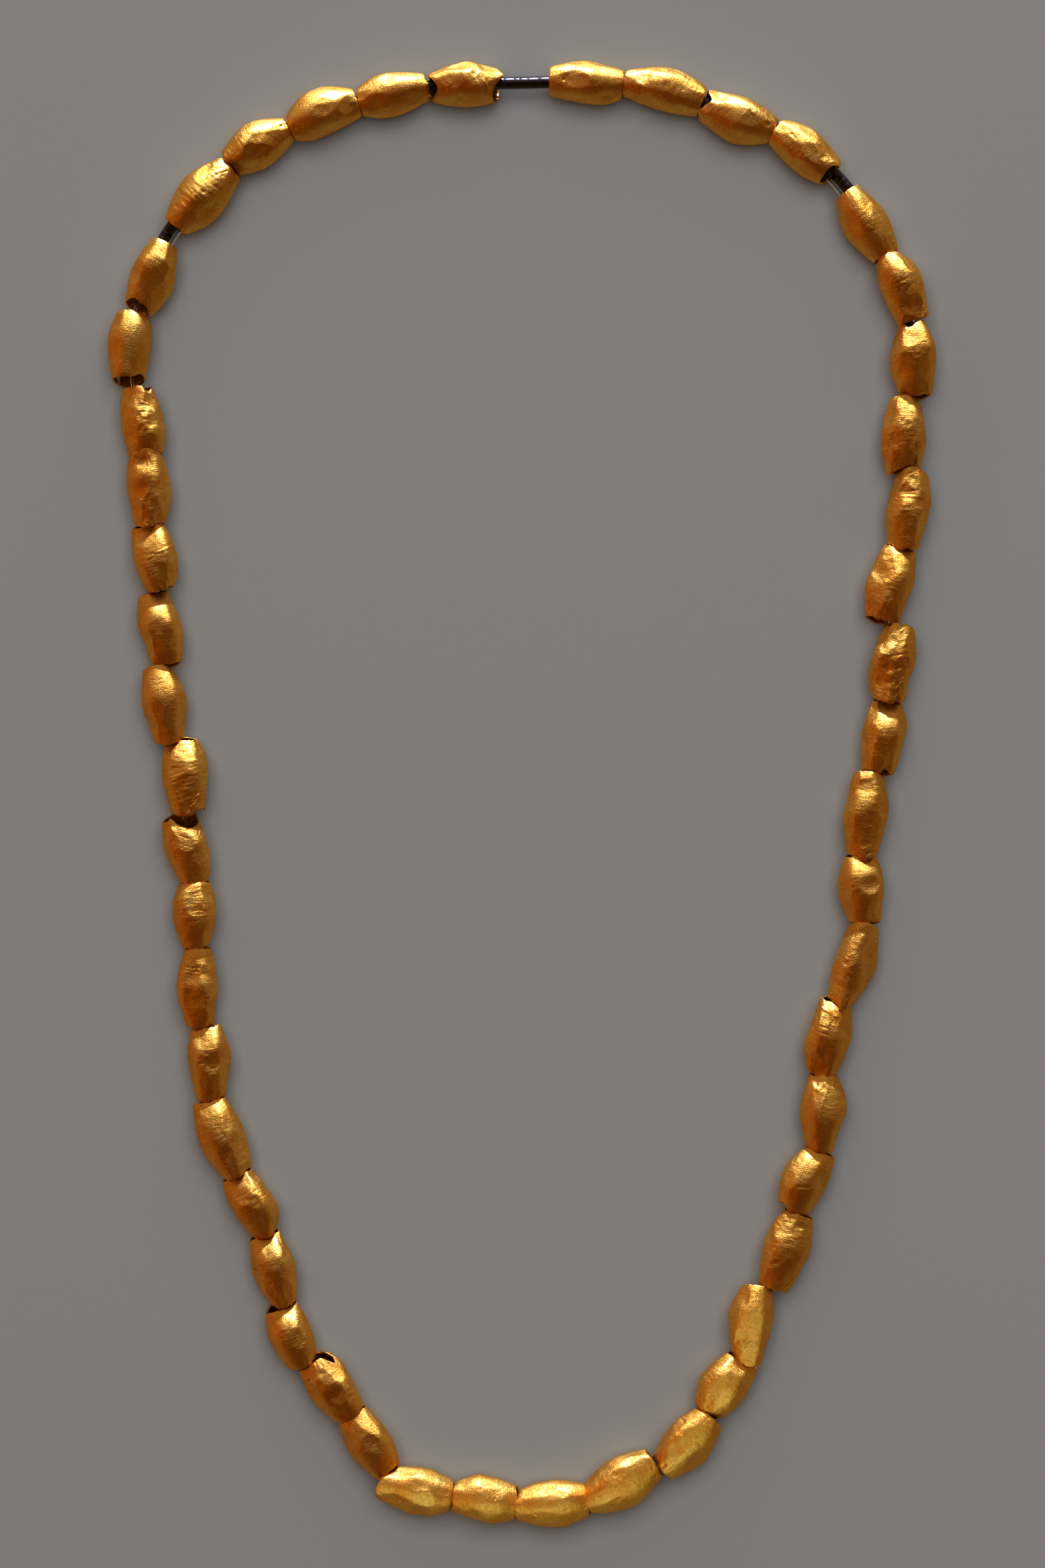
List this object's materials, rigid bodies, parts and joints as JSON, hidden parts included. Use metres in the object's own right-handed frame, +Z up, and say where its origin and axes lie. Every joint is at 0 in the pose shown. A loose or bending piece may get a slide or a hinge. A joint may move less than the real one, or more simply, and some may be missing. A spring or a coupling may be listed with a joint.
{
  "type": "bead necklace",
  "caption": "Closed loop of hollow barrel-shaped sheet-gold beads on a clear thread, with a bent dark rod inside the upper beads, lying flat.",
  "frame": {"origin": "middle of the loop's bounding box, on the surface that the beads lie on", "axes": "+Z up from the surface; +Y along the loop's longest way, towards the stretch with the rod; +X across the loop, to the right when seen from above"},
  "size_m": [0.1245, 0.2202, 0.007],
  "materials": {
    "sheet_gold": "hammered sheet gold, satin, finely scratched, with brown dirt in its pits and folds",
    "rod_coating": "glossy, near black",
    "clear_thread": "clear, smooth"
  },
  "bodies": {
    "root": {"bead_01": "sheet_gold", "bead_02": "sheet_gold", "bead_03": "sheet_gold", "bead_04": "sheet_gold", "bead_05": "sheet_gold", "bead_06": "sheet_gold", "bead_07": "sheet_gold", "bead_08": "sheet_gold", "bead_09": "sheet_gold", "bead_10": "sheet_gold", "bead_11": "sheet_gold", "bead_12": "sheet_gold", "bead_13": "sheet_gold", "bead_14": "sheet_gold", "bead_15": "sheet_gold", "bead_16": "sheet_gold", "bead_17": "sheet_gold", "bead_18": "sheet_gold", "bead_19": "sheet_gold", "bead_20": "sheet_gold", "bead_21": "sheet_gold", "bead_22": "sheet_gold", "bead_23": "sheet_gold", "bead_24": "sheet_gold", "bead_25": "sheet_gold", "bead_26": "sheet_gold", "bead_27": "sheet_gold", "bead_28": "sheet_gold", "bead_29": "sheet_gold", "bead_30": "sheet_gold", "bead_31": "sheet_gold", "bead_32": "sheet_gold", "bead_33": "sheet_gold", "bead_34": "sheet_gold", "bead_35": "sheet_gold", "bead_36": "sheet_gold", "bead_37": "sheet_gold", "bead_38": "sheet_gold", "bead_39": "sheet_gold", "bead_40": "sheet_gold", "bead_41": "sheet_gold", "bead_42": "sheet_gold", "bead_43": "sheet_gold", "bead_44": "sheet_gold", "bead_45": "sheet_gold", "bead_46": "sheet_gold", "bead_47": "sheet_gold", "bead_48": "sheet_gold", "bead_49": "sheet_gold", "support_rod": "rod_coating", "stringing_thread": "clear_thread"}
  },
  "joints": []
}
